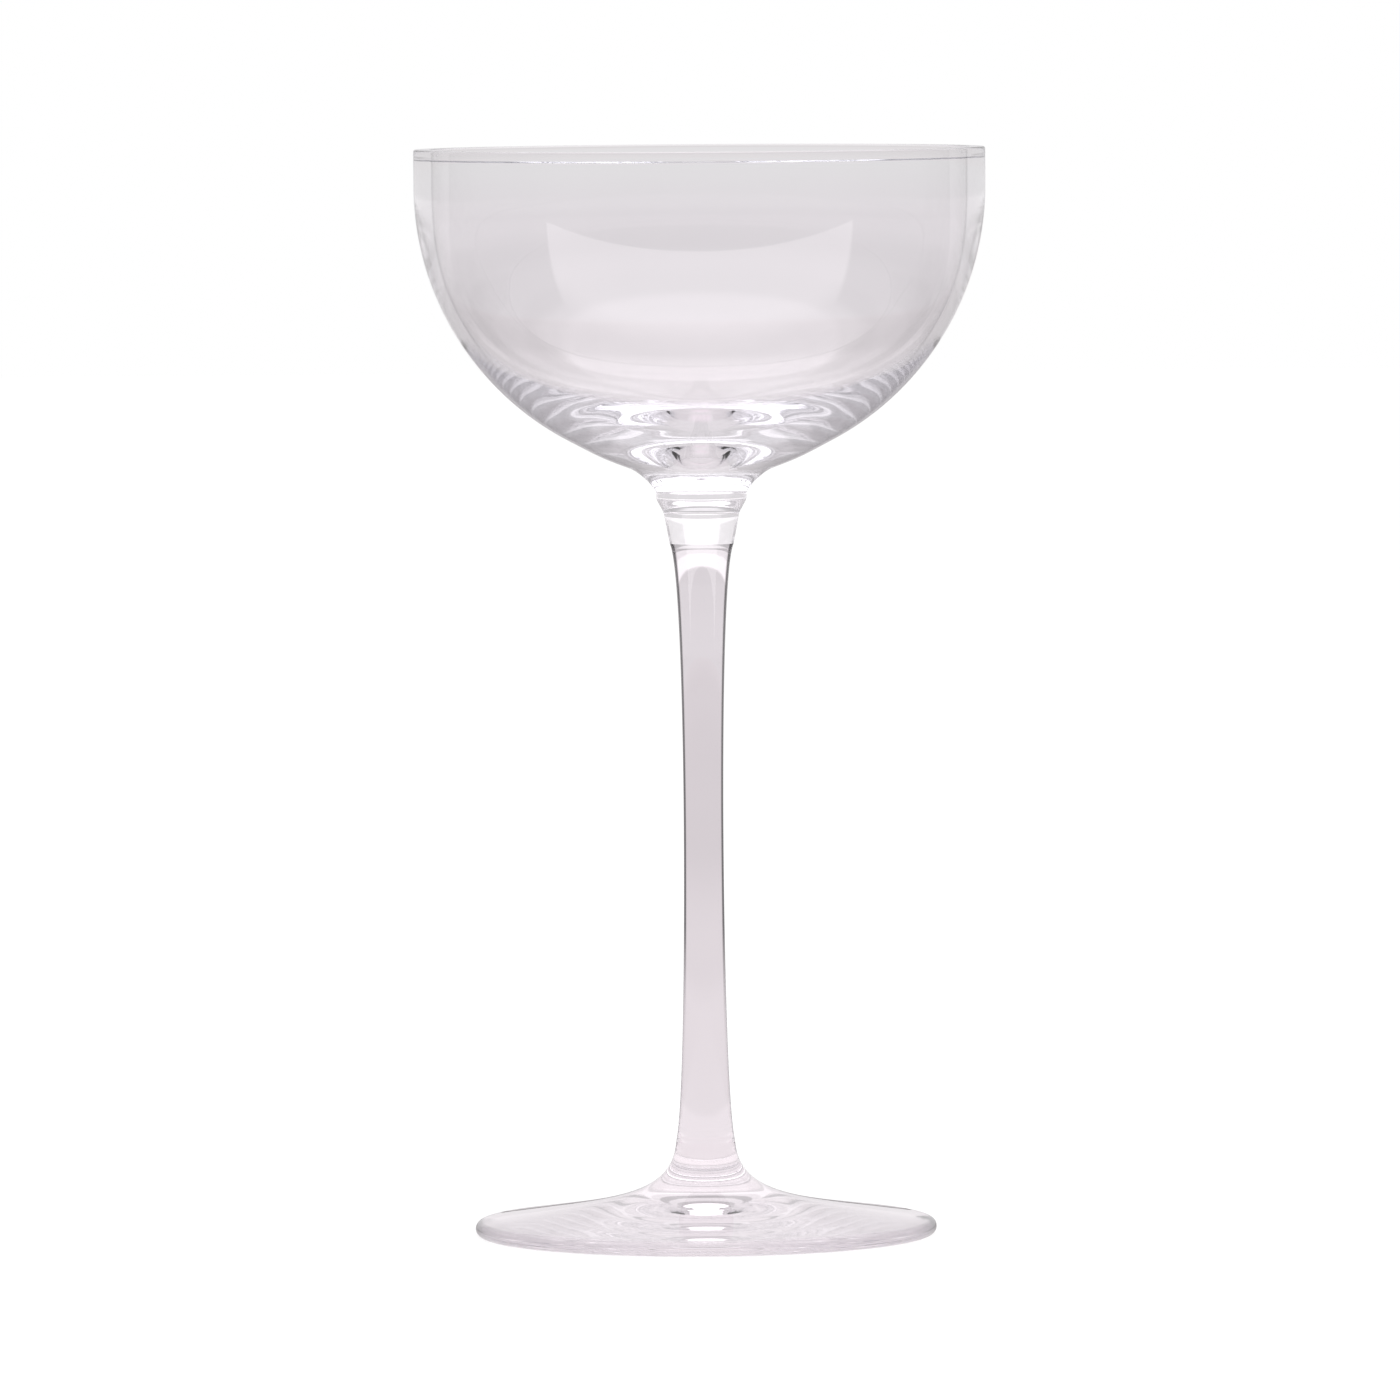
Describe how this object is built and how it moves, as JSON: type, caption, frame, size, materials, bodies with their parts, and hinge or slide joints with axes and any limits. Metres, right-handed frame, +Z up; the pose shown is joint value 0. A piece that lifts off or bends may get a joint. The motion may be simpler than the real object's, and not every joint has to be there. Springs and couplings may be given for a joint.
{
  "type": "nick and nora glass",
  "caption": "Clear stemmed cocktail glass with a deep rounded bowl, a slim waisted stem and a round foot.",
  "frame": {"origin": "centre of the plane that the foot rests on", "axes": "+Z up along the stem; the glass is round about Z, so +X and +Y are free"},
  "size_m": [0.082, 0.082, 0.1564],
  "materials": {
    "bowl_glass": "clear soda-lime glass, fire polished, with a breath of lilac",
    "stem_glass": "clear soda-lime glass, drawn and fire polished",
    "foot_glass": "clear soda-lime glass, spun and fire polished, lightly worn on the resting ring"
  },
  "bodies": {
    "root": {"bowl": "bowl_glass", "stem": "stem_glass", "foot": "foot_glass"}
  },
  "joints": []
}
